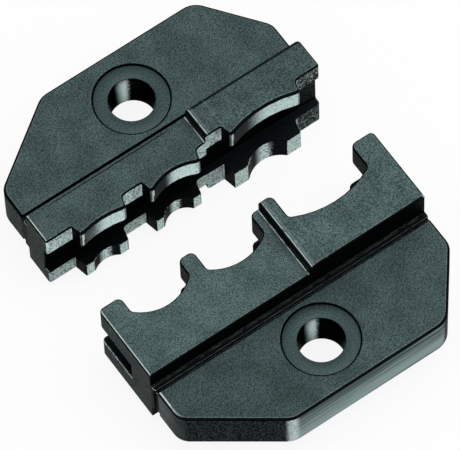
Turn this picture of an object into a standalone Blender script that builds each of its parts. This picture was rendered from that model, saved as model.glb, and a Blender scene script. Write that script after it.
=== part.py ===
"""Crimping die set for insulated terminals, lying open: a nest half and an indenter half.

Units are metres and +Z is up. The floor is Z = 0 and the origin is the middle of the set on the floor.
X runs along the jaws. The halves close along Y: the nest half lies on the -Y side with its nests towards +Y,
and the indenter half lies on the +Y side with its teeth towards -Y.

Each half is drawn in its own flat frame first: u along the jaw, and w from the tang's front edge
towards the other half. A half is a thin tang with a thicker jaw in front, and a slot splits the jaw into two
rows: the upper row closes on the insulation of a terminal and the lower row on its conductor barrel.
"""

import math

import bmesh
import bpy

MM = 0.001

# Rest position and play
FRONT_TO_FRONT = 22.4 * MM
BUSH_PLAY = 0.3 * MM

# Tang: the flat plate that the tool's frame holds
TANG_WIDTH = 30.8 * MM
TANG_DEPTH = 9.45 * MM
TANG_THICKNESS = 4.75 * MM
TANG_LONG_CHAMFER = (8.6 * MM, 6.15 * MM)
TANG_SHORT_CHAMFER = (4.85 * MM, 6.35 * MM)
TANG_SIDE_RADIUS = 1.8 * MM
TANG_BACK_RADIUS = 2.2 * MM
TANG_ROOT = 1.9 * MM

# Bolt hole and its bush
HOLE_RADIUS = 2.25 * MM
BUSH_WALL = 1.45 * MM
BUSH_BELOW_FACE = 0.15 * MM
BUSH_CHAMFER = 0.15 * MM

# Jaw: a thick bar in two segments, of which the right one stands out above and below.
# The step between them runs through the third post, a little left of its middle.
JAW_LENGTH = 31.0 * MM
JAW_BACK = 1.06 * MM
THIN_SEGMENT_THICKNESS = 8.4 * MM
THICK_SEGMENT_THICKNESS = 10.8 * MM
STEP_FROM_POST_MIDDLE = 0.23 * MM
STEP_CHAMFER = 0.25 * MM
JAW_END_RADIUS = 0.25 * MM

# Relief groove between jaw and tang, a shelf with a narrow undercut beside the tang
SHELF_DEPTH = 0.2 * MM
UNDERCUT_DEPTH = 0.45 * MM
UNDERCUT_WIDTH = 0.35 * MM

# Working stations, from left to right. The posts share the length that the nests leave,
# and the fourth post takes the rest.
NEST_WIDTHS = (6.4 * MM, 6.35 * MM, 8.92 * MM)
POST_SHARES = (0.262, 0.189, 0.273)

# Nest half: the lower row's nests are shallower, and narrower by an inset at each wall
FLOOR_RADII = (4.4 * MM, 5.1 * MM, 9.4 * MM)
UPPER_FLOORS = (6.23 * MM, 5.97 * MM, 5.52 * MM)
LOWER_FLOORS = (6.75 * MM, 6.5 * MM, 6.1 * MM)
LOWER_INSETS = (0.2 * MM, 0.1 * MM, 0.45 * MM)
UPPER_POST_TIP = 9.45 * MM
LOWER_POST_TIP = 9.3 * MM
POST_TIP_RADIUS = 0.62 * MM
NEST_CORNER_RADIUS = 0.5 * MM
NEST_SLOT_BOTTOM = 4.27 * MM
NEST_UPPER_ROW = 3.0 * MM
NEST_LOWER_ROW_THIN = 2.5 * MM
NEST_LOWER_ROW_THICK = 3.1 * MM

# Indenter half: each tooth is narrower than its nest by a side clearance
LAND = 4.45 * MM
UPPER_TOOTH_TIP = 5.62 * MM
LOWER_TOOTH_TIP = 5.85 * MM
UPPER_CLEARANCES = (0.65 * MM, 0.38 * MM, 0.5 * MM)
LOWER_CLEARANCES = (0.58 * MM, 0.5 * MM, 0.22 * MM)
UPPER_TIP_FLATS = (0.4 * MM, 0.4 * MM, 0.4 * MM)
LOWER_TIP_FLATS = (1.0 * MM, 0.95 * MM, 1.6 * MM)
UPPER_HOLLOWS = (0.26 * MM, 0.6 * MM, 0.58 * MM)
LOWER_HOLLOWS = (0.47 * MM, 0.82 * MM, 0.95 * MM)
FLANK_RUN = 0.3 * MM
LEFT_FOOT_RADIUS = 0.12 * MM
RIGHT_FOOT_RADIUS = 0.45 * MM
TIP_EDGE_RADIUS = 0.12 * MM
TOOTH_SLOT_BOTTOM = 3.75 * MM
TOOTH_UPPER_ROW = 2.5 * MM
TOOTH_LOWER_ROW_THIN = 2.1 * MM
TOOTH_LOWER_ROW_THICK = 3.3 * MM
TOOTH_SLOT_FLARE = 0.55 * MM

# How finely round shapes are cut into facets, and how much of a straight side its fillets may take
ARC_STEP = math.radians(7.5)
BORE_SIDES = 64
FILLET_ROOM = 0.98

# Levels and places that follow from the sizes above.
# The bolt hole lies midway between the tang's back edge and the jaw's back wall.
JAW_MIDDLE = THICK_SEGMENT_THICKNESS / 2
TANG_TOP = JAW_MIDDLE + TANG_THICKNESS / 2
TANG_BOTTOM = JAW_MIDDLE - TANG_THICKNESS / 2
THIN_TOP = JAW_MIDDLE + THIN_SEGMENT_THICKNESS / 2
THIN_BOTTOM = JAW_MIDDLE - THIN_SEGMENT_THICKNESS / 2
HOLE_BACK = (TANG_DEPTH - JAW_BACK) / 2
BUSH_RADIUS = HOLE_RADIUS + BUSH_WALL
ROW_START = JAW_BACK / 2
CUT_MARGIN = 1.0 * MM


def clear_scene():
    for obj in list(bpy.data.objects):
        bpy.data.objects.remove(obj, do_unlink=True)


def steel(name, colour, roughness):
    material = bpy.data.materials.new(name)
    material.use_nodes = True
    shader = material.node_tree.nodes["Principled BSDF"]
    shader.inputs["Base Color"].default_value = (*colour, 1.0)
    shader.inputs["Roughness"].default_value = roughness
    shader.inputs["Metallic"].default_value = 1.0
    return material


def arc(centre, radius, start, end):
    """Points on a circle from one angle to another, both ends included."""
    steps = max(1, math.ceil(abs(end - start) / ARC_STEP))
    turns = [start + (end - start) * i / steps for i in range(steps + 1)]
    return [(centre[0] + radius * math.cos(t), centre[1] + radius * math.sin(t)) for t in turns]


def fillet_room(corner, neighbour):
    """How much of the side between two corners a fillet may take: half where both ends have one."""
    length = FILLET_ROOM * math.dist(corner[:2], neighbour[:2])
    return length / 2 if neighbour[2] else length


def rounded(corners):
    """An outline from corners (u, w, radius), with an arc at each corner that has a radius."""
    outline = []
    for i, corner in enumerate(corners):
        u, w, radius = corner
        if radius == 0:
            outline.append((u, w))
            continue
        before = corners[i - 1]
        after = corners[(i + 1) % len(corners)]
        to_before = math.atan2(before[1] - w, before[0] - u)
        to_after = math.atan2(after[1] - w, after[0] - u)
        opening = (to_after - to_before + math.pi) % math.tau - math.pi
        room = min(fillet_room(corner, before), fillet_room(corner, after))
        radius = min(radius, room * math.tan(abs(opening) / 2))
        reach = radius / math.sin(abs(opening) / 2)
        middle = to_before + opening / 2
        centre = (u + reach * math.cos(middle), w + reach * math.sin(middle))
        turn = math.copysign(math.pi - abs(opening), -opening)
        start = to_before - math.copysign(math.pi / 2, opening)
        outline += arc(centre, radius, start, start + turn)
    return outline


def stations():
    """The centre and width of each nest, with posts of their shared widths between them."""
    spare = JAW_LENGTH - sum(NEST_WIDTHS)
    edge = -JAW_LENGTH / 2
    places = []
    for width, share in zip(NEST_WIDTHS, POST_SHARES):
        edge += share * spare
        places.append((edge + width / 2, width))
        edge += width
    return places


def step_place():
    """Where the step between the segments lies: near the middle of the third post."""
    (_, _), (second_centre, second_width), (third_centre, third_width) = stations()
    middle = (second_centre + second_width / 2 + third_centre - third_width / 2) / 2
    return middle - STEP_FROM_POST_MIDDLE


def nest_hollow(centre, half_width, floor, radius):
    """Corners down one wall of a nest, round its curved floor and up the other wall."""
    corner = NEST_CORNER_RADIUS
    lean = math.asin((half_width - corner) / (radius - corner))
    corner_w = floor + radius - (radius - corner) * math.cos(lean)
    left = arc((centre - half_width + corner, corner_w), corner, math.pi, 1.5 * math.pi - lean)
    bottom = arc((centre, floor + radius), radius, 1.5 * math.pi - lean, 1.5 * math.pi + lean)
    right = arc((centre + half_width - corner, corner_w), corner, 1.5 * math.pi + lean, 2 * math.pi)
    return [(u, w, 0) for u, w in left[:-1] + bottom + right[1:]]


def nest_row(insets, floors, tip):
    """Outline of one row of the nest half: four posts with a nest between each two."""
    half = JAW_LENGTH / 2
    corners = [(-half, ROW_START, 0), (-half, tip, JAW_END_RADIUS)]
    for (centre, width), inset, floor, radius in zip(stations(), insets, floors, FLOOR_RADII):
        half_width = width / 2 - inset
        corners.append((centre - half_width, tip, POST_TIP_RADIUS))
        corners += nest_hollow(centre, half_width, floor, radius)
        corners.append((centre + half_width, tip, POST_TIP_RADIUS))
    corners += [(half, tip, JAW_END_RADIUS), (half, ROW_START, 0)]
    return rounded(corners)


def tooth_hollow(centre, half_chord, tip, depth):
    """Corners along the hollow arc in a tooth's tip, sunk by its depth between the two tip flats."""
    radius = (half_chord ** 2 + depth ** 2) / (2 * depth)
    lean = math.asin(half_chord / radius)
    middle = (centre, tip - depth + radius)
    points = arc(middle, radius, 1.5 * math.pi - lean, 1.5 * math.pi + lean)
    return [(u, w, 0) for u, w in points]


def tooth_row(insets, clearances, tip, flats, hollows):
    """Outline of one row of the indenter half: four lands with a hollow-ended tooth between each two."""
    half = JAW_LENGTH / 2
    corners = [(-half, ROW_START, 0), (-half, LAND, JAW_END_RADIUS)]
    for (centre, width), inset, clearance, flat, hollow in zip(stations(), insets, clearances, flats, hollows):
        half_width = width / 2 - inset - clearance
        foot = half_width + FLANK_RUN
        corners.append((centre - foot, LAND, LEFT_FOOT_RADIUS))
        corners.append((centre - half_width, tip, TIP_EDGE_RADIUS))
        corners += tooth_hollow(centre, half_width - flat, tip, hollow)
        corners.append((centre + half_width, tip, TIP_EDGE_RADIUS))
        corners.append((centre + foot, LAND, RIGHT_FOOT_RADIUS))
    corners += [(half, LAND, JAW_END_RADIUS), (half, ROW_START, 0)]
    return rounded(corners)


def tang_outline():
    """The plate seen from above, with its long chamfer at the left and its short one at the right."""
    half = TANG_WIDTH / 2
    long_u, long_w = TANG_LONG_CHAMFER
    short_u, short_w = TANG_SHORT_CHAMFER
    return rounded([
        (-half, TANG_ROOT, 0),
        (-half, long_w - TANG_DEPTH, TANG_SIDE_RADIUS),
        (long_u - half, -TANG_DEPTH, TANG_BACK_RADIUS),
        (half - short_u, -TANG_DEPTH, TANG_BACK_RADIUS),
        (half, short_w - TANG_DEPTH, TANG_SIDE_RADIUS),
        (half, TANG_ROOT, 0),
    ])


def bridge(name, first_loop, second_loop):
    """A closed solid between two loops that have the same number of points."""
    mesh = bpy.data.meshes.new(name)
    shape = bmesh.new()
    first = [shape.verts.new(point) for point in first_loop]
    second = [shape.verts.new(point) for point in second_loop]
    shape.faces.new(first)
    shape.faces.new(second)
    for i, vert in enumerate(first):
        after = (i + 1) % len(first)
        shape.faces.new((vert, first[after], second[after], second[i]))
    bmesh.ops.recalc_face_normals(shape, faces=shape.faces)
    shape.to_mesh(mesh)
    shape.free()
    obj = bpy.data.objects.new(name, mesh)
    bpy.context.scene.collection.objects.link(obj)
    return obj


def plan_solid(name, facing, outline, bottom, top):
    """An outline in (u, w) raised from one level to another."""
    loops = [[(u, facing * w, level) for u, w in outline] for level in (bottom, top)]
    return bridge(name, *loops)


def front_solid(name, facing, near, far, near_outline, far_outline):
    """An outline in (u, z) at one w joined to a like outline at another w."""
    near_loop = [(u, facing * near, z) for u, z in near_outline]
    far_loop = [(u, facing * far, z) for u, z in far_outline]
    return bridge(name, near_loop, far_loop)


def end_solid(name, facing, outline):
    """An outline in (w, z) run past both ends of the jaw."""
    reach = JAW_LENGTH / 2 + CUT_MARGIN
    loops = [[(u, facing * w, z) for w, z in outline] for u in (-reach, reach)]
    return bridge(name, *loops)


def step_outline(flip):
    """What is taken off the thin segment's face, with the chamfer of the thick segment's edge."""
    left = -JAW_LENGTH / 2 - CUT_MARGIN
    step = step_place()
    outline = [
        (left, THIN_TOP),
        (step, THIN_TOP),
        (step, THICK_SEGMENT_THICKNESS - STEP_CHAMFER),
        (step + STEP_CHAMFER + CUT_MARGIN, THICK_SEGMENT_THICKNESS + CUT_MARGIN),
        (left, THICK_SEGMENT_THICKNESS + CUT_MARGIN),
    ]
    if flip:
        return [(u, THICK_SEGMENT_THICKNESS - z) for u, z in outline]
    return outline


def slot_outline(upper, lower_thin, lower_thick, flare):
    """The slot seen from the front, from the thicknesses that it leaves in the two rows.

    The flare takes more off the lower row of the thick segment towards the slot's mouth.
    """
    left = -JAW_LENGTH / 2 - CUT_MARGIN
    step = step_place()
    floor = lower_thick - flare
    return [
        (left, THIN_BOTTOM + lower_thin),
        (step, THIN_BOTTOM + lower_thin),
        (step, floor),
        (-left, floor),
        (-left, THICK_SEGMENT_THICKNESS - upper),
        (step, THICK_SEGMENT_THICKNESS - upper),
        (step, THIN_TOP - upper),
        (left, THIN_TOP - upper),
    ]


def relief_outline(flip):
    """The shelf and undercut behind the jaw, open upwards past the jaw's face."""
    over = THICK_SEGMENT_THICKNESS + CUT_MARGIN
    outline = [
        (0, over),
        (0, TANG_TOP - UNDERCUT_DEPTH),
        (UNDERCUT_WIDTH, TANG_TOP - UNDERCUT_DEPTH),
        (UNDERCUT_WIDTH, TANG_TOP - SHELF_DEPTH),
        (JAW_BACK, TANG_TOP - SHELF_DEPTH),
        (JAW_BACK, over),
    ]
    if flip:
        return [(w, THICK_SEGMENT_THICKNESS - z) for w, z in outline]
    return outline


def round_solid(name, facing, radius, bottom, top):
    """A round bar on the bolt's axis."""
    turns = [math.tau * i / BORE_SIDES for i in range(BORE_SIDES)]
    outline = [(radius * math.cos(t), radius * math.sin(t) - HOLE_BACK) for t in turns]
    return plan_solid(name, facing, outline, bottom, top)


def combine(body, tool, operation):
    """Joins a tool to a body or cuts it away, and leaves the tool as a hidden guide."""
    modifier = body.modifiers.new(f"{operation.lower()} {tool.name}", "BOOLEAN")
    modifier.operation = operation
    modifier.object = tool
    tool.parent = body
    tool.hide_render = True
    tool.display_type = "WIRE"


def half_body(name, facing, upper_row, lower_row, slot_bottom, rows, flare, tip):
    """The one-piece body of a half: tang and jaw joined, then slot, steps, relief and bush seat cut."""
    body = plan_solid(name, facing, tang_outline(), TANG_BOTTOM, TANG_TOP)
    upper = plan_solid(f"{name}_upper_row", facing, upper_row, JAW_MIDDLE, THICK_SEGMENT_THICKNESS)
    combine(body, upper, "UNION")
    combine(body, plan_solid(f"{name}_lower_row", facing, lower_row, 0, JAW_MIDDLE), "UNION")
    root = slot_outline(*rows, 0)
    mouth = slot_outline(*rows, flare)
    slot = front_solid(f"{name}_slot", facing, slot_bottom, tip + CUT_MARGIN, root, mouth)
    combine(body, slot, "DIFFERENCE")
    for flip, side in ((False, "top"), (True, "bottom")):
        step = front_solid(
            f"{name}_step_{side}", facing, 0, tip + CUT_MARGIN, step_outline(flip), step_outline(flip))
        combine(body, step, "DIFFERENCE")
        combine(body, end_solid(f"{name}_relief_{side}", facing, relief_outline(flip)), "DIFFERENCE")
    seat = round_solid(
        f"{name}_bush_seat", facing, BUSH_RADIUS + BUSH_PLAY, TANG_BOTTOM - CUT_MARGIN, TANG_TOP + CUT_MARGIN)
    combine(body, seat, "DIFFERENCE")
    return body


def turned_bush(name, facing):
    """The bush as a turned ring, with a chamfer at the outer edge of each face."""
    low = TANG_BOTTOM + BUSH_BELOW_FACE
    high = TANG_TOP - BUSH_BELOW_FACE
    inner = BUSH_RADIUS - BUSH_CHAMFER
    section = [
        (HOLE_RADIUS, low), (inner, low), (BUSH_RADIUS, low + BUSH_CHAMFER),
        (BUSH_RADIUS, high - BUSH_CHAMFER), (inner, high), (HOLE_RADIUS, high),
    ]
    mesh = bpy.data.meshes.new(name)
    shape = bmesh.new()
    rings = []
    for i in range(BORE_SIDES):
        turn = math.tau * i / BORE_SIDES
        points = [(radius * math.cos(turn), radius * math.sin(turn), level) for radius, level in section]
        rings.append([shape.verts.new(point) for point in points])
    for i, ring in enumerate(rings):
        after = rings[(i + 1) % BORE_SIDES]
        for j in range(len(section)):
            k = (j + 1) % len(section)
            shape.faces.new((ring[j], ring[k], after[k], after[j]))
    bmesh.ops.recalc_face_normals(shape, faces=shape.faces)
    shape.to_mesh(mesh)
    shape.free()
    mesh.shade_smooth()
    mesh.set_sharp_from_angle(angle=math.radians(30))
    bush = bpy.data.objects.new(name, mesh)
    bpy.context.scene.collection.objects.link(bush)
    bush.location = (0, -facing * HOLE_BACK, 0)
    return bush


def die_half(label, facing, material, bush_material, **body_sizes):
    """One half on its own empty, which stands on the floor below the middle of the tang's front edge."""
    anchor = bpy.data.objects.new(f"{label}_half", None)
    anchor.location = (0, -facing * FRONT_TO_FRONT / 2, 0)
    bpy.context.scene.collection.objects.link(anchor)
    body = half_body(f"{label}_die", facing, **body_sizes)
    body.data.materials.append(material)
    bush = turned_bush(f"{label}_bush", facing)
    bush.data.materials.append(bush_material)
    body.parent = anchor
    bush.parent = anchor


def main():
    clear_scene()
    body_colour = (0.075, 0.085, 0.083)
    bush_colour = (0.085, 0.092, 0.092)
    no_insets = (0, 0, 0)
    die_half(
        "nest", 1,
        steel("nest_steel", body_colour, 0.55),
        steel("nest_bush_steel", bush_colour, 0.5),
        upper_row=nest_row(no_insets, UPPER_FLOORS, UPPER_POST_TIP),
        lower_row=nest_row(LOWER_INSETS, LOWER_FLOORS, LOWER_POST_TIP),
        slot_bottom=NEST_SLOT_BOTTOM,
        rows=(NEST_UPPER_ROW, NEST_LOWER_ROW_THIN, NEST_LOWER_ROW_THICK),
        flare=0,
        tip=UPPER_POST_TIP)
    die_half(
        "indenter", -1,
        steel("indenter_steel", body_colour, 0.55),
        steel("indenter_bush_steel", bush_colour, 0.5),
        upper_row=tooth_row(no_insets, UPPER_CLEARANCES, UPPER_TOOTH_TIP, UPPER_TIP_FLATS, UPPER_HOLLOWS),
        lower_row=tooth_row(LOWER_INSETS, LOWER_CLEARANCES, LOWER_TOOTH_TIP, LOWER_TIP_FLATS, LOWER_HOLLOWS),
        slot_bottom=TOOTH_SLOT_BOTTOM,
        rows=(TOOTH_UPPER_ROW, TOOTH_LOWER_ROW_THIN, TOOTH_LOWER_ROW_THICK),
        flare=TOOTH_SLOT_FLARE,
        tip=LOWER_TOOTH_TIP)


main()
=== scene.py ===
"""Looks of the crimping die set: worn, black-oxidised sintered steel on a pale floor.

Sizes on the die and the camera's place are millimetres in this file until they reach Blender, which works in
metres. The floor, the lights and the depths of bumps are in metres. Every piece's object stands at the origin
of the frame, so an object coordinate is also a place on the die.
"""

import math
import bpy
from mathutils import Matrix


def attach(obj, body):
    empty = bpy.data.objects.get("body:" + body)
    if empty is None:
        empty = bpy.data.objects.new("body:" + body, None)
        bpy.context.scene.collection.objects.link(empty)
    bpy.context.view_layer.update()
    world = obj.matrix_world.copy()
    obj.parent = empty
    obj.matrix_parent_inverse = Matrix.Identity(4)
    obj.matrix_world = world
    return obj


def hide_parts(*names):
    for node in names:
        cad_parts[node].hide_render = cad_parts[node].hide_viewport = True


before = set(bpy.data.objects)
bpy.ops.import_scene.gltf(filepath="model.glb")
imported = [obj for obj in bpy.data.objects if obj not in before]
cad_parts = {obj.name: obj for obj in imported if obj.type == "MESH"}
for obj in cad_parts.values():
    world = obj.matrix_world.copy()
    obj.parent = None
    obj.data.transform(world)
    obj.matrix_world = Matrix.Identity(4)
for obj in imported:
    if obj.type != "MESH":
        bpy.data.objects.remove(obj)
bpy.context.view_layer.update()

from types import SimpleNamespace

import bmesh
import bpy
from mathutils import Matrix, Vector

MM = 0.001

# Places on the die as the CAD has them: u along the jaws, z up from the floor, and w from a tang's front edge
# towards the other half
HALVES = {"nest": 1, "indenter": -1}     # which way along Y each half faces
FRONT = 11.2                             # from the middle of the set to each tang's front edge
HOLE_BACK = 4.195                        # from that edge back to the bolt's axis
TANG_TOP = 7.775
TANG_BOTTOM = 3.025
THIN_TOP = 9.6
THICK_TOP = 10.8
STEP = 2.496                             # where the thick segment starts
JAW_BACK = 1.06
JAW_END = 15.5
SEAT = 4.0                               # radius of the bush's seat
HOLE_RADIUS = 2.25
BUSH_RADIUS = 3.7
BUSH_BELOW_FACE = 0.15
# Slot limits as (thin, thick segment): the underside of the upper row and the top of the lower row
UNDER_ROW = {1: (6.6, 7.8), -1: (7.1, 8.3)}
OVER_ROW = {1: (3.7, 3.1), -1: (3.3, 3.3)}
ROW_SPLIT = 5.35                         # a level between the two rows
POST_TIPS = (9.45, 9.3)                  # of the nest half's upper and lower row
LAND = 4.45
UPPER_TIP = 5.62
LOWER_TIP = 5.85
# Teeth from left to right: centre, half width in the upper and the lower row, right end of the land before it
TEETH = ((-9.856, 2.55, 2.42, -12.75), (-1.718, 2.795, 2.575, -4.85), (8.464, 3.96, 3.79, 4.15))

# What is shaped here
ROUNDING = 0.5                           # a full rounding of an edge
SHARP = math.radians(28)                 # only edges sharper than this are rounded
CLOSE_SEAT = 3.79                        # radius of the bush's seat as it shows
END_RADIUS = (0.25, 0.5)                 # of the outer posts' corners, in the CAD and here
SLOT_SLANT = 0.8                         # how far the indenter half's slot step leans to the right
BUSH_SIDES = 128
SAME = 0.01                              # sizes closer than this count as one
MERGE = 0.000002                         # metres

# Colours. A pair is the two ends of an uneven surface.
OXIDE = ((0.019, 0.031, 0.031), (0.072, 0.105, 0.106))
MOULDED_AND_SHADED = ((0.0, 0.002, 0.002), (0.040, 0.054, 0.052))
NEST_SIDE = ((0.03, 0.037, 0.036), (0.075, 0.092, 0.09))
NEST_METAL = ((0.05, 0.06, 0.06), (0.30, 0.36, 0.34))
TOOTH_SHADE = ((0.008, 0.010, 0.010), (0.03, 0.038, 0.037))
TOOTH_PITS_SHADED_TO_LIT = ((0.004, 0.005, 0.005), (0.20, 0.26, 0.245))
TOOTH_METAL_LIT = (0.80, 1.0, 0.96)
GROUND = ((0.30, 0.40, 0.385), (0.075, 0.105, 0.10))
BUSH_OXIDE = ((0.018, 0.029, 0.029), (0.062, 0.092, 0.093))
BORE_HIGHLIGHT = ((0.42, 0.52, 0.50), (0.70, 0.82, 0.79))
RECESS_SHADE = (0.003, 0.004, 0.004)
DARK_JOINT_AND_SHADE_LINE = (0.004, 0.005, 0.005)
CORNER_SHADE = (0.006, 0.007, 0.007)
MOULDING_LINE = (0.008, 0.009, 0.009)
PIT_BLACK_AND_BORE_SHADE = (0.012, 0.015, 0.015)
SHELF_LINE = (0.2, 0.22, 0.21)
GLINT = (0.20, 0.26, 0.25)
EDGE_HIGHLIGHT = (0.42, 0.50, 0.48)
CORNER_HIGHLIGHT = (0.62, 0.72, 0.70)
TIP_HIGHLIGHT = (0.80, 0.87, 0.85)
# How much of the usual gloss at a grazing angle is kept
DIE_EDGE_TINT = (0.45, 0.45, 0.45)
BUSH_EDGE_TINT = (0.1, 0.12, 0.12)

# The camera, as fitted to the photograph. Angles in degrees.
ELEVATION = 63.0786
HEADING = 32.5562
ROLL = -2.6896
AIM = (0.5566, 0.1641, 5.4)
DISTANCE = 619.0065
FOCAL_PIXELS = 6634.8
PHOTO_WIDTH = 460
SENSOR = 36

# Area lights: name, place, size and power
LIGHTS = (
    ("overhead", (0.08, -0.05, 0.65), (0.5, 0.5), 1.6),
    ("right", (0.45, -0.38, 0.35), (0.25, 0.35), 0.8),
)
FLOOR_SIZE = 0.7
FLOOR_PAINT = (0.86, 0.86, 0.86, 1.0)
FLOOR_GLOW = 0.9                         # how much of the floor that the camera sees is plain white
HORIZON = (0.03, 0.03, 0.03)
ZENITH = (0.95, 0.96, 0.97)
WHITE = (1.0, 1.0, 1.0)


class Graph:
    """Short calls for building a node tree."""

    def __init__(self, tree):
        self.tree = tree
        tree.nodes.clear()

    def add(self, kind, **settings):
        node = self.tree.nodes.new(kind)
        for key, value in settings.items():
            setattr(node, key, value)
        return node

    def feed(self, socket, value):
        if isinstance(value, bpy.types.NodeSocket):
            self.tree.links.new(value, socket)
        else:
            socket.default_value = value

    def math(self, operation, *values):
        node = self.add("ShaderNodeMath", operation=operation)
        for socket, value in zip(node.inputs, values):
            self.feed(socket, value)
        return node.outputs[0]

    def line(self, value, slope, start):
        return self.math("MULTIPLY_ADD", value, slope, start)

    def length(self, first, second):
        squares = [self.math("MULTIPLY", side, side) for side in (first, second)]
        return self.math("SQRT", self.math("ADD", *squares))

    def between(self, value, low, high):
        """0 below low, 1 above high, and smooth in between; falls instead where high is under low."""
        node = self.add("ShaderNodeMapRange", interpolation_type="SMOOTHSTEP")
        ends = (low, high, 0.0, 1.0) if low < high else (high, low, 1.0, 0.0)
        self.feed(node.inputs["Value"], value)
        for name, end in zip(("From Min", "From Max", "To Min", "To Max"), ends):
            node.inputs[name].default_value = end
        return node.outputs["Result"]

    def window(self, value, low, high, soft):
        """1 between low and high, with soft ends."""
        return self.math("MULTIPLY", self.between(value, low - soft, low + soft),
                         self.between(value, high + soft, high - soft))

    def joined(self, operation, masks):
        result = masks[0]
        for mask in masks[1:]:
            result = self.math(operation, result, mask)
        return result

    def both(self, *masks):
        return self.joined("MULTIPLY", masks)

    def either(self, *masks):
        return self.joined("MAXIMUM", masks)

    def inverse(self, mask):
        return self.math("SUBTRACT", 1.0, mask)

    def choose(self, mask, low, high):
        """A number between two others by a mask."""
        node = self.add("ShaderNodeMix", data_type="FLOAT")
        for socket, value in zip((node.inputs[0], node.inputs[2], node.inputs[3]), (mask, low, high)):
            self.feed(socket, value)
        return node.outputs[0]

    def tint(self, mask, low, high):
        """A colour between two others by a mask."""
        node = self.add("ShaderNodeMix", data_type="RGBA")
        self.feed(node.inputs[0], mask)
        for socket, value in zip((node.inputs[6], node.inputs[7]), (low, high)):
            self.feed(socket, value if isinstance(value, bpy.types.NodeSocket) else (*value, 1.0))
        return node.outputs[2]

    def scaled(self, vector, factor):
        """A colour or a place times a number."""
        node = self.add("ShaderNodeVectorMath", operation="SCALE")
        self.feed(node.inputs[0], vector)
        self.feed(node.inputs["Scale"], factor)
        return node.outputs["Vector"]

    def stretched(self, place, factors):
        """A place with each of its coordinates times a number of its own."""
        node = self.add("ShaderNodeVectorMath", operation="MULTIPLY")
        self.feed(node.inputs[0], place)
        self.feed(node.inputs[1], factors)
        return node.outputs["Vector"]

    def noise(self, place, scale, detail=2.0, roughness=0.5):
        """Noise with about one feature in each 1/scale of a millimetre."""
        node = self.add("ShaderNodeTexNoise")
        self.feed(node.inputs["Vector"], place)
        node.inputs["Scale"].default_value = scale
        node.inputs["Detail"].default_value = detail
        node.inputs["Roughness"].default_value = roughness
        return node.outputs["Fac"]

    def bump(self, height, distance, strength, normal=None):
        node = self.add("ShaderNodeBump")
        self.feed(node.inputs["Height"], height)
        node.inputs["Distance"].default_value = distance
        node.inputs["Strength"].default_value = strength
        if normal is not None:
            self.feed(node.inputs["Normal"], normal)
        return node.outputs["Normal"]

    def seen_rays(self):
        """1 for the rays that see the background itself: the camera's, and those off metal or through glass."""
        rays = self.add("ShaderNodeLightPath").outputs
        return self.either(rays["Is Camera Ray"], rays["Is Glossy Ray"], rays["Is Transmission Ray"])

    def metal(self, colour, roughness, normal, edge_tint):
        shader = self.add("ShaderNodeBsdfPrincipled")
        shader.inputs["Metallic"].default_value = 1.0
        shader.inputs["Specular Tint"].default_value = (*edge_tint, 1.0)
        self.feed(shader.inputs["Base Color"], colour)
        self.feed(shader.inputs["Roughness"], roughness)
        self.feed(shader.inputs["Normal"], normal)
        output = self.add("ShaderNodeOutputMaterial")
        self.tree.links.new(shader.outputs[0], output.inputs["Surface"])


def new_material(name):
    material = bpy.data.materials.new(name)
    material.use_nodes = True
    return material, Graph(material.node_tree)


def die_places(g, facing):
    """Place in millimetres (place, and u, w, z) and how much the surface faces u, w and z."""
    coordinates = g.add("ShaderNodeTexCoord")
    place = g.scaled(coordinates.outputs["Object"], 1.0 / MM)
    spot = g.add("ShaderNodeSeparateXYZ")
    g.feed(spot.inputs[0], place)
    turn = g.add("ShaderNodeSeparateXYZ")
    g.feed(turn.inputs[0], coordinates.outputs["Normal"])
    return SimpleNamespace(
        place=place, u=spot.outputs[0], w=g.line(spot.outputs[1], float(facing), FRONT), z=spot.outputs[2],
        to_u=turn.outputs[0], to_w=g.math("MULTIPLY", turn.outputs[1], float(facing)), to_z=turn.outputs[2])


def die_zones(g, facing):
    """Places on a die body, with the noises and masks that several of its looks share."""
    d = die_places(g, facing)
    d.grain = g.noise(d.place, 8.0, 2.0, 0.6)
    d.grainy = g.between(d.grain, 0.36, 0.64)
    d.side_grain = g.noise(g.stretched(d.place, (1.0, 1.0, 0.6)), 7.5, 2.0, 0.6)
    d.speck = g.noise(d.place, 6.0, 2.0, 0.6)
    d.upright = g.between(d.to_z, 0.2, 0.1)
    d.sideways = g.math("ABSOLUTE", d.to_u)
    d.off_ends = g.inverse(g.between(g.math("ABSOLUTE", d.u), JAW_END - 0.2, JAW_END - 0.08))
    d.thick = g.between(d.u, STEP - 0.01, STEP + 0.01)
    d.row_bottom = g.choose(d.thick, *UNDER_ROW[facing])
    row_top = g.choose(d.thick, *OVER_ROW[facing])
    deep = g.between(d.w, 2.6, 2.9)
    open_slot = g.both(
        deep, g.between(g.math("SUBTRACT", d.z, d.row_bottom), 0.02, -0.02),
        g.between(g.math("SUBTRACT", d.z, row_top), -0.06, -0.02))
    row_face = g.both(deep, g.between(d.z, 4.5, 4.3), g.between(d.z, 2.2, 2.4), g.between(d.to_z, 0.3, 0.6))
    right_wall = g.both(g.between(d.u, 12.9, 13.6), g.between(d.to_w, 0.5, 0.8), 0.75)
    d.in_slot = g.both(g.either(open_slot, row_face), d.off_ends, g.inverse(right_wall))
    d.at_front = g.between(d.w, LAND - 0.25, LAND - 0.1)
    d.working = g.both(d.at_front, g.between(d.to_w, 0.3, 0.5), d.upright, g.inverse(d.in_slot))
    return d


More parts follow.
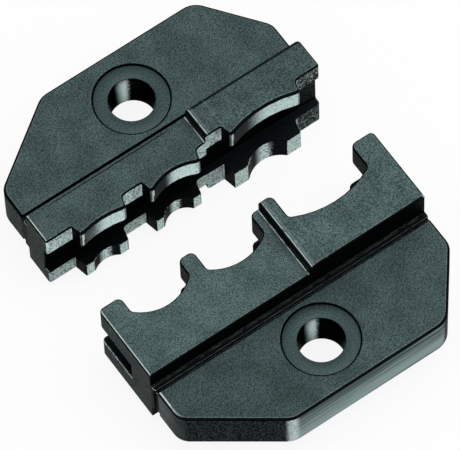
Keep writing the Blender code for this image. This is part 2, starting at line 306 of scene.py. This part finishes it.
def oxide_skin(g, d, facing):
    """Green-grey and a little uneven on top; on the moulded sides darker, partly their own finish and partly
    painted shade, and painted lighter where a side faces left. Gives the top's oxide by itself too.
    """
    patches = g.between(g.noise(d.place, 0.35, 1.0), 0.3, 0.7)
    tone = g.line(patches, 0.28, 0.84 if facing < 0 else 0.81)
    if facing > 0:
        jaw = g.between(d.w, 0.5, 2.0)
        tang_left = g.both(g.between(d.u, 4.0, -9.0), g.inverse(jaw))
        tone = g.math("MULTIPLY", tone, g.line(jaw, 0.32, 0.98))
        tone = g.math("MULTIPLY", tone, g.line(tang_left, -0.16, 1.0))
    oxide = g.scaled(g.tint(d.grainy, *OXIDE), tone)
    # Moulded sides: dark, partly their finish and partly painted shade; painted lighter where they face left (-u)
    moulded_and_shaded = g.tint(g.between(d.side_grain, 0.42, 0.6), *MOULDED_AND_SHADED)
    moulded_and_shaded = g.scaled(moulded_and_shaded, g.line(g.between(d.to_u, -0.6, -0.9), 0.55, 1.0))
    colour = g.tint(g.between(d.to_z, 0.93, 0.99), moulded_and_shaded, oxide)
    if facing > 0:
        # The tang's left side is streaked along its edge
        streaks = g.noise(g.stretched(d.place, (0.5, 0.5, 3.5)), 1.0, 2.0, 0.6)
        streaks = g.tint(g.between(streaks, 0.35, 0.65), *NEST_SIDE)
        streaks = g.scaled(streaks, g.line(g.between(d.w, -2.6, -0.6), 0.9, 0.75))
        side = g.both(g.between(d.w, 0.1, -0.1), g.between(d.to_u, -0.62, -0.9), g.between(d.to_z, 0.3, 0.1))
        colour = g.tint(side, colour, streaks)
    return colour, oxide


def paint_recess_shade(g, d, facing, colour, oxide):
    """Painted shade, near black: on rounded rims, in slot and groove, on the jaw's back wall and on the walls
    between working faces; and a painted glint on some upper edges.
    """
    rim = g.window(d.to_z, 0.1, 0.955, 0.03)
    if facing < 0:
        back_rim = g.both(g.between(d.to_w, -0.1, -0.3), g.inverse(d.thick), g.between(d.w, 0.5, 0.7))
        rim = g.both(rim, g.inverse(back_rim))
        colour = g.tint(g.both(back_rim, g.between(d.to_z, 0.3, 0.5), 0.8), colour, oxide)
    off_top = g.between(d.to_z, 0.93, 0.6)
    groove = g.both(g.between(d.w, JAW_BACK + 0.05, JAW_BACK - 0.03), g.between(d.w, -0.03, 0.03))
    shelf = g.both(groove, g.between(d.z, TANG_TOP, TANG_TOP - 0.1))
    walls = g.both(d.at_front, g.between(d.sideways, 0.5, 0.75), d.off_ends, off_top)
    # Painted shade: near black on rims, in the slot, groove and shelf, and on the walls between working faces
    black = g.either(rim, d.in_slot, g.both(groove, off_top), shelf, walls)
    colour = g.tint(g.math("MULTIPLY", black, 0.96), colour, RECESS_SHADE)
    glint = g.both(
        g.window(d.to_z, 0.958, 0.992, 0.008), g.between(d.grain, 0.35, 0.55), g.between(d.z, 5.0, 5.5), 0.5)
    colour = g.tint(glint, colour, GLINT)
    if facing < 0:
        # Painted shade lines: a dark line near the back edge of the thin segment's top, and a dark back edge on
        # the thick one's
        thin_shade_line = g.both(
            g.window(d.w, 1.30, 1.43, 0.03), g.inverse(d.thick), g.between(d.z, THIN_TOP - 0.1, THIN_TOP - 0.02),
            g.between(d.u, -14.5, -12.0), g.between(d.u, 1.2, -0.6))
        thick_shade_line = g.both(
            g.between(d.w, 1.42, 1.36), d.thick, g.between(d.z, THICK_TOP - 0.3, THICK_TOP - 0.2))
        colour = g.tint(g.both(g.either(thin_shade_line, thick_shade_line), 0.9), colour, DARK_JOINT_AND_SHADE_LINE)
    # Two faint lines on the shelf between tang and jaw
    patchy = g.noise(d.place, 1.6, 2.0, 0.5)
    for low, high, cover in ((0.42, 0.5, 0.12), (0.78, 0.9, 0.2)):
        streak = g.both(
            g.window(d.w, low, high, 0.03), shelf, g.between(d.to_z, 0.8, 0.95), g.between(patchy, 0.35, 0.6))
        colour = g.tint(g.math("MULTIPLY", streak, cover), colour, SHELF_LINE)
    return colour


def nest_metal(g, d, colour):
    """The nests' working faces: bare metal with dark specks."""
    return g.tint(d.working, colour, g.tint(g.between(d.speck, 0.42, 0.6), *NEST_METAL))


def tooth_metal(g, d, colour):
    """The working faces of teeth and lands: bare metal with dark specks, and painted light and shade.

    Upper teeth are painted darker where they face right, lower teeth where they face to either side, and the
    lower row's lands darker than the upper row's.
    """
    rough_end = g.between(d.u, 12.6, 13.2)
    on_tooth = g.between(d.w, LAND + 0.2, LAND + 0.3)
    upper = g.between(d.z, 5.2, 5.6)
    # Painted light and shade: how lit a face is painted depends on which way it turns, and lower lands are
    # painted darker
    turned = g.line(d.speck, 0.35, g.math("SUBTRACT", d.to_u, 0.175))
    lit_upper = g.between(turned, 0.17, -0.06)
    lit_lower = g.both(g.between(turned, 0.36, 0.0), g.between(turned, -0.36, -0.12), 0.8)
    lit = g.choose(on_tooth, g.choose(upper, 0.5, 0.85), g.choose(upper, lit_lower, lit_upper))
    lit = g.math("MULTIPLY", lit, g.choose(rough_end, 1.0, 0.45))
    shaded_or_lit_metal = g.tint(lit, g.tint(upper, *TOOTH_SHADE), TOOTH_METAL_LIT)
    shaded_or_lit_pits = g.tint(rough_end, g.tint(lit, *TOOTH_PITS_SHADED_TO_LIT), PIT_BLACK_AND_BORE_SHADE)
    cover = g.choose(g.math("MULTIPLY", on_tooth, upper), 0.46, 0.37)
    cover = g.choose(rough_end, cover, 0.55)
    mottle = g.between(g.math("SUBTRACT", d.speck, cover), -0.06, 0.07)
    colour = g.tint(d.working, colour, g.tint(mottle, shaded_or_lit_pits, shaded_or_lit_metal))

    # Painted highlights at both tips of each upper tooth and at the right end of each land, and painted shade on
    # each upper tooth's left corner
    at_tip = g.between(d.w, 5.4, 5.5)
    highlights = []
    for centre, half, _, land_end in TEETH:
        left, right = centre - half, centre + half
        shade = g.both(g.window(d.u, left - 0.1, left + 0.14, 0.03), upper, g.between(d.w, 5.3, 5.4))
        colour = g.tint(g.both(shade, d.working, 0.9), colour, CORNER_SHADE)
        left_tip = g.both(
            g.window(d.u, left + 0.18, left + 0.38, 0.03), upper, at_tip,
            g.between(g.math("SUBTRACT", d.z, d.row_bottom), 0.8, 1.3))
        right_tip = g.both(g.window(d.u, right - 0.12, right - 0.02, 0.02), upper, at_tip, 0.5)
        land = g.both(
            g.window(d.u, land_end - 0.2, land_end - 0.02, 0.04), g.between(d.w, 4.6, 4.5),
            g.choose(upper, 0.35, 1.0))
        highlights += [left_tip, land, right_tip]
    shine = g.both(g.either(*highlights), d.working, g.between(d.to_z, 0.4, 0.2))
    return g.tint(g.math("MULTIPLY", shine, 0.8), colour, TIP_HIGHLIGHT)


def grind_back(g, d, colour):
    """The ground back face: lighter, with fine lines and a painted highlight at its left corner. Gives the lines'
    relief too.
    """
    lines = g.noise(g.stretched(d.place, (0.05, 1.0, 3.0)), 1.0, 3.0, 0.7)
    back = g.both(g.between(d.w, -9.0, -9.3), g.between(d.to_w, -0.86, -0.97), d.upright)
    colour = g.tint(back, colour, g.tint(g.between(g.line(d.z, 0.04, lines), 0.60, 0.86), *GROUND))
    # A painted highlight on the back face's left corner
    corner = g.both(
        g.window(d.u, -7.3, -6.3, 0.35), g.between(d.w, -8.9, -9.2), d.upright,
        g.line(g.between(d.side_grain, 0.4, 0.6), 0.5, 0.5))
    return g.tint(corner, colour, CORNER_HIGHLIGHT), g.both(lines, back)


def paint_edge_highlights(g, d, facing, colour):
    """Painted highlights, broken up: along upper edges that face left, at the step and just right of it, and on
    some rims of one half.
    """
    aim = g.math("DIVIDE", d.to_u, g.math("MAXIMUM", 0.02, g.length(d.to_u, d.to_w)))
    # Painted highlights on edges, made uneven by a noise
    left_rim = g.both(
        g.window(d.to_z, 0.8, 0.985, 0.01), g.between(aim, -0.75, -0.86), g.between(d.u, -14.0, -14.6),
        g.between(d.w, *((0.4, 0.6) if facing < 0 else (-3.7, -1.6))))
    step_foot = g.both(
        g.window(d.u, STEP - 0.14, STEP - 0.04, 0.03), g.window(d.z, THIN_TOP - 0.05, THIN_TOP + 0.15, 0.02))
    marks = [left_rim, step_foot]
    on_thick_top = g.between(d.z, THICK_TOP - 0.1, THICK_TOP - 0.02)
    for low, high, soft, strength in ((0.24, 0.34, 0.03, 1.0), (0.5, 0.6, 0.05, 0.18), (1.95, 2.05, 0.06, 0.12)):
        marks.append(g.both(g.window(d.u, STEP + low, STEP + high, soft), on_thick_top, strength))
    painted_highlight = g.either(*marks)
    if facing < 0:
        painted_highlight = g.both(painted_highlight, g.between(d.w, 4.6, 4.2))
    chipped = g.between(g.noise(d.place, 1.3, 3.0, 0.6), 0.33, 0.52)
    painted_highlight = g.both(painted_highlight, g.line(chipped, 0.75, 0.25))
    dots = g.between(g.noise(d.place, 4.0, 1.0), 0.42, 0.55)
    if facing > 0:
        slot_edge = g.both(
            g.between(d.u, -JAW_END + 0.15, -JAW_END + 0.08), g.window(d.z, 3.62, 3.74, 0.03),
            g.between(d.to_z, 0.2, 0.4), dots, 0.7)
        corner_dot = g.both(
            g.between(d.u, JAW_END - 0.24, JAW_END - 0.14), g.between(d.w, 1.4, 1.3),
            g.between(d.z, THICK_TOP - 0.3, THICK_TOP - 0.2), 0.7)
        painted_highlight = g.either(painted_highlight, slot_edge, corner_dot)
    else:
        for centre, _, half, _ in TEETH:
            lower_rim = g.both(
                g.window(d.u, centre - half, centre - 0.3 * half, 0.1), g.between(d.w, 4.9, 5.0),
                g.between(d.z, 4.0, 3.6), g.window(d.to_z, 0.2, 0.85, 0.05), dots)
            painted_highlight = g.either(painted_highlight, lower_rim)
    return g.tint(painted_highlight, colour, EDGE_HIGHLIGHT)


def die_steel(name, facing):
    """Oxidised steel: grainy on top, with painted near-black shade in its recesses, worn where it works, and with
    painted highlights along its edges.
    """
    material, g = new_material(name)
    d = die_zones(g, facing)
    colour, oxide = oxide_skin(g, d, facing)
    colour = paint_recess_shade(g, d, facing, colour, oxide)
    colour = nest_metal(g, d, colour) if facing > 0 else tooth_metal(g, d, colour)
    colour, ground_relief = grind_back(g, d, colour)
    colour = paint_edge_highlights(g, d, facing, colour)
    # A moulding line runs along the ends of the jaw and the tang's side
    moulding = g.both(g.window(d.z, 4.5, 4.62, 0.03), g.between(d.sideways, 0.6, 0.9))
    colour = g.tint(g.math("MULTIPLY", moulding, 0.6), colour, MOULDING_LINE)
    roughness = g.choose(d.working, g.choose(d.grainy, 0.36, 0.5), 0.42 if facing > 0 else 0.4)
    normal = g.bump(d.grain, 0.00008, 0.7)
    normal = g.bump(ground_relief, 0.00002, 0.4, normal)
    normal = g.bump(g.math("MULTIPLY", d.speck, d.working), 0.00004, 0.6, normal)
    normal = g.bump(moulding, 0.00004, 0.8, normal)
    g.metal(colour, roughness, normal, DIE_EDGE_TINT)
    return material


def bush_steel(name, facing):
    """Turned ring: the die's oxide with faint turning marks, and a smooth bore painted dark, with a painted
    highlight down one side.
    """
    material, g = new_material(name)
    d = die_places(g, facing)
    grain = g.noise(d.place, 8.0, 2.0, 0.6)
    ahead = g.math("ADD", d.w, HOLE_BACK)
    radius = g.length(d.u, ahead)
    oxide = g.tint(g.between(grain, 0.32, 0.68), *BUSH_OXIDE)
    oxide = g.tint(g.between(radius, BUSH_RADIUS - 0.12, BUSH_RADIUS - 0.04), oxide, DARK_JOINT_AND_SHADE_LINE)
    # The bore's wall has a painted highlight where it lies right of the axis and towards +Y, and painted shade
    # elsewhere
    bore = g.both(
        g.between(radius, HOLE_RADIUS + 0.2, HOLE_RADIUS + 0.08),
        g.between(g.math("ABSOLUTE", d.to_z), 0.5, 0.2))
    to_right = g.line(g.noise(d.place, 6.0, 2.0, 0.6), 0.3, g.math("DIVIDE", d.u, radius))
    to_back = g.math("DIVIDE", g.math("MULTIPLY", ahead, float(facing)), radius)
    painted_highlight = g.both(
        g.between(to_right, -0.12, 0.42), g.between(to_right, 0.66, 0.42), g.between(to_back, 0.3, 0.6))
    metal = g.tint(g.noise(g.stretched(d.place, (3.0, 3.0, 0.4)), 1.0, 2.0), *BORE_HIGHLIGHT)
    colour = g.tint(bore, oxide, g.tint(painted_highlight, PIT_BLACK_AND_BORE_SHADE, metal))
    roughness = g.choose(bore, g.choose(g.between(grain, 0.3, 0.7), 0.42, 0.55), 0.3)
    turning_marks = g.math("SINE", g.math("MULTIPLY", radius, 55.0))
    g.metal(colour, roughness, g.bump(g.line(turning_marks, 0.12, grain), 0.00003, 0.4), BUSH_EDGE_TINT)
    return material


def sharpen_teeth(shape):
    """Gathers the small rounding at each tooth's tip into one corner, which the bevel rounds again."""
    for vert in shape.verts:
        u = vert.co.x / MM
        w = FRONT - vert.co.y / MM
        upper = vert.co.z / MM > ROW_SPLIT
        tip = UPPER_TIP if upper else LOWER_TIP
        if w < tip - 0.13:
            continue
        for centre, upper_half, lower_half, _ in TEETH:
            half = upper_half if upper else lower_half
            for corner in (centre - half, centre + half):
                if abs(u - corner) < 0.12:
                    vert.co.x = corner * MM
                    vert.co.y = (FRONT - tip) * MM
    bmesh.ops.remove_doubles(shape, verts=shape.verts, dist=MERGE)


def slant_slot_step(shape):
    """Leans the step in the indenter half's slot to the right, by moving its upper edge."""
    for vert in shape.verts:
        if abs(vert.co.x / MM - STEP) < SAME and abs(vert.co.z / MM - UNDER_ROW[-1][1]) < SAME:
            vert.co.x += SLOT_SLANT * MM


def round_outer_posts(shape):
    """Gives the outer corner of the nest half's first and last post a wider radius."""
    old, new = END_RADIUS
    for vert in shape.verts:
        u, w = vert.co.x / MM, vert.co.y / MM + FRONT
        side = math.copysign(1, u)
        for tip in POST_TIPS:
            across, along = side * u - JAW_END + old, w - tip + old
            if across > -0.002 and along > -0.002 and abs(math.hypot(across, along) - old) < 0.004:
                vert.co.x = side * (JAW_END - new + across * new / old) * MM
                vert.co.y = (tip - new + along * new / old - FRONT) * MM
                break


def close_seat(shape, facing):
    """Draws the bush's seat in towards the bush."""
    axis = Vector((0, -facing * (FRONT + HOLE_BACK)))
    for vert in shape.verts:
        spoke = Vector((vert.co.x / MM, vert.co.y / MM)) - axis
        if abs(spoke.length - SEAT) < 0.02 and TANG_BOTTOM - SAME < vert.co.z / MM < TANG_TOP + SAME:
            spoke *= CLOSE_SEAT / spoke.length
            vert.co.x = (axis.x + spoke.x) * MM
            vert.co.y = (axis.y + spoke.y) * MM


def edge_softness(edge, facing):
    """How wide an edge is rounded, as a share of ROUNDING."""
    if not edge.is_manifold or edge.calc_face_angle() < SHARP:
        return 0.0
    ends = [vert.co / MM for vert in edge.verts]
    ahead = [facing * end.y + FRONT for end in ends]
    from_axis = [math.hypot(end.x, w + HOLE_BACK) for end, w in zip(ends, ahead)]
    level = min(end.z for end in ends)
    flat = max(end.z for end in ends) - level < SAME
    on_thin_top = abs(level - THIN_TOP) < SAME
    on_jaw_top = min(ahead) > 0.5 and (on_thin_top or abs(level - THICK_TOP) < SAME)
    indenter = facing < 0
    if flat and edge.is_convex:
        # The tang's upper outline, without the edges at the jaw and round the seat
        if abs(level - TANG_TOP) < SAME and min(ahead) < -0.05 and min(from_axis) > SEAT + 0.2:
            return 0.66
        # The straight back edge of the indenter half's thin segment
        if indenter and on_thin_top and on_jaw_top and max(ahead) < JAW_BACK + 0.04:
            return 0.2
        if on_jaw_top:
            return 0.72 if indenter and min(ahead) > LAND + 0.5 else 0.45
    if max(from_axis) < SEAT:
        return 0.06
    if not flat and edge.is_convex and indenter:
        # The tips of the teeth, then the right end of the jaw
        if min(ahead) > LAND + 0.8:
            return 0.27
        if min(end.x for end in ends) > JAW_END - 0.1 and (0.5 < min(ahead) < 1.5 or level > 5.0):
            return 0.9
    return 0.15


def refined_mesh(node, facing, material):
    """A copy of a die body with marked edges for the bevel and its small changes of shape."""
    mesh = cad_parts[node].data.copy()
    mesh.name = f"{node}_looks"
    shape = bmesh.new()
    shape.from_mesh(mesh)
    bmesh.ops.remove_doubles(shape, verts=shape.verts, dist=MERGE)
    bmesh.ops.dissolve_limit(
        shape, angle_limit=math.radians(0.6), use_dissolve_boundaries=False,
        verts=shape.verts, edges=shape.edges, delimit={"NORMAL"})
    close_seat(shape, facing)
    if facing > 0:
        round_outer_posts(shape)
    else:
        sharpen_teeth(shape)
        slant_slot_step(shape)
    weights = shape.edges.layers.float.new("bevel_weight_edge")
    for edge in shape.edges:
        edge[weights] = edge_softness(edge, facing)
    mesh.materials.clear()
    shape.to_mesh(mesh)
    shape.free()
    mesh.materials.append(material)
    mesh.shade_smooth()
    return mesh


def add_piece(name, mesh, body, node):
    piece = bpy.data.objects.new(name, mesh)
    bpy.context.scene.collection.objects.link(piece)
    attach(piece, body)
    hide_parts(node)
    return piece


def add_die(label, facing):
    node = f"{label}_die"
    mesh = refined_mesh(node, facing, die_steel(f"{label}_steel", facing))
    piece = add_piece(f"{label}_die_body", mesh, f"{label}_half", node)
    bevel = piece.modifiers.new("rounded edges", "BEVEL")
    bevel.limit_method = "WEIGHT"
    bevel.width = ROUNDING * MM
    bevel.segments = 3
    bevel.use_clamp_overlap = False
    bevel.loop_slide = False
    bevel.face_strength_mode = "FSTR_AFFECTED"
    weights = piece.modifiers.new("flat faces stay flat", "WEIGHTED_NORMAL")
    weights.keep_sharp = True
    weights.weight = 100
    weights.use_face_influence = True


def add_bush(label, facing):
    """The bush as a turned ring with eased edges."""
    low = TANG_BOTTOM + BUSH_BELOW_FACE
    high = TANG_TOP - BUSH_BELOW_FACE
    upper = [
        (HOLE_RADIUS, high - 0.08), (HOLE_RADIUS + 0.02, high - 0.03), (HOLE_RADIUS + 0.08, high),
        (BUSH_RADIUS - 0.04, high), (BUSH_RADIUS - 0.01, high - 0.02), (BUSH_RADIUS, high - 0.06)]
    section = upper + [(r, low + high - z) for r, z in reversed(upper)]
    shape = bmesh.new()
    rings = []
    for i in range(BUSH_SIDES):
        turn = math.tau * i / BUSH_SIDES
        points = [(r * math.cos(turn), -facing * (FRONT + HOLE_BACK) + r * math.sin(turn), z) for r, z in section]
        rings.append([shape.verts.new(Vector(point) * MM) for point in points])
    for i, ring in enumerate(rings):
        after = rings[(i + 1) % BUSH_SIDES]
        for j in range(len(section)):
            k = (j + 1) % len(section)
            shape.faces.new((ring[j], ring[k], after[k], after[j]))
    bmesh.ops.recalc_face_normals(shape, faces=shape.faces)
    mesh = bpy.data.meshes.new(f"{label}_bush_looks")
    shape.to_mesh(mesh)
    shape.free()
    mesh.materials.append(bush_steel(f"{label}_bush_steel", facing))
    mesh.shade_smooth()
    mesh.set_sharp_from_angle(angle=math.radians(50))
    add_piece(f"{label}_bush_ring", mesh, f"{label}_half", f"{label}_bush")


def add_floor():
    """A pale floor that the camera sees as nearly white, with the object's soft shadow."""
    bpy.ops.mesh.primitive_plane_add(size=FLOOR_SIZE, location=(0, 0, 0))
    floor = bpy.context.object
    floor.name = "floor"
    material, g = new_material("floor_white")
    paint = g.add("ShaderNodeBsdfDiffuse")
    paint.inputs["Color"].default_value = FLOOR_PAINT
    glow = g.add("ShaderNodeEmission")
    glow.inputs["Strength"].default_value = 1.0
    mix = g.add("ShaderNodeMixShader")
    g.feed(mix.inputs[0], g.math("MULTIPLY", g.seen_rays(), FLOOR_GLOW))
    g.tree.links.new(paint.outputs[0], mix.inputs[1])
    g.tree.links.new(glow.outputs[0], mix.inputs[2])
    g.tree.links.new(mix.outputs[0], g.add("ShaderNodeOutputMaterial").inputs["Surface"])
    floor.data.materials.append(material)


def add_world():
    """White for the camera and in reflections, and otherwise bright overhead and dark at the horizon."""
    world = bpy.data.worlds.new("studio")
    world.use_nodes = True
    bpy.context.scene.world = world
    g = Graph(world.node_tree)
    up = g.add("ShaderNodeSeparateXYZ")
    g.feed(up.inputs[0], g.add("ShaderNodeTexCoord").outputs["Generated"])
    sky = g.tint(g.between(up.outputs[2], 0.15, 0.9), HORIZON, ZENITH)
    background = g.add("ShaderNodeBackground")
    g.feed(background.inputs["Color"], g.tint(g.seen_rays(), sky, WHITE))
    g.tree.links.new(background.outputs[0], g.add("ShaderNodeOutputWorld").inputs["Surface"])


def add_light(name, place, size, power):
    """An area light that points at the origin."""
    data = bpy.data.lights.new(name, "AREA")
    data.shape = "RECTANGLE"
    data.size, data.size_y = size
    data.energy = power
    light = bpy.data.objects.new(name, data)
    light.location = place
    light.rotation_euler = (-Vector(place)).to_track_quat("-Z", "Y").to_euler()
    bpy.context.scene.collection.objects.link(light)


def add_camera():
    """The photograph's view: a long lens from the -X -Y side, 63 degrees above the floor."""
    elevation, heading, roll = (math.radians(angle) for angle in (ELEVATION, HEADING, ROLL))
    forward = Vector((
        math.sin(heading) * math.cos(elevation), math.cos(heading) * math.cos(elevation), -math.sin(elevation)))
    right = Vector((math.cos(heading), -math.sin(heading), 0))
    down = forward.cross(right)
    image_right = math.cos(roll) * right - math.sin(roll) * down
    image_down = math.sin(roll) * right + math.cos(roll) * down
    data = bpy.data.cameras.new("camera")
    data.sensor_fit = "HORIZONTAL"
    data.sensor_width = SENSOR
    data.lens = SENSOR * FOCAL_PIXELS / PHOTO_WIDTH
    camera = bpy.data.objects.new("camera", data)
    camera.matrix_world = Matrix.Translation(Vector(AIM) * MM - forward * DISTANCE * MM) @ Matrix(
        (image_right, -image_down, -forward)).transposed().to_4x4()
    bpy.context.scene.collection.objects.link(camera)
    bpy.context.scene.camera = camera


add_camera()
add_world()
for light in LIGHTS:
    add_light(*light)
add_floor()
for half, towards in HALVES.items():
    add_die(half, towards)
    add_bush(half, towards)
bpy.context.scene.view_settings.view_transform = "Standard"
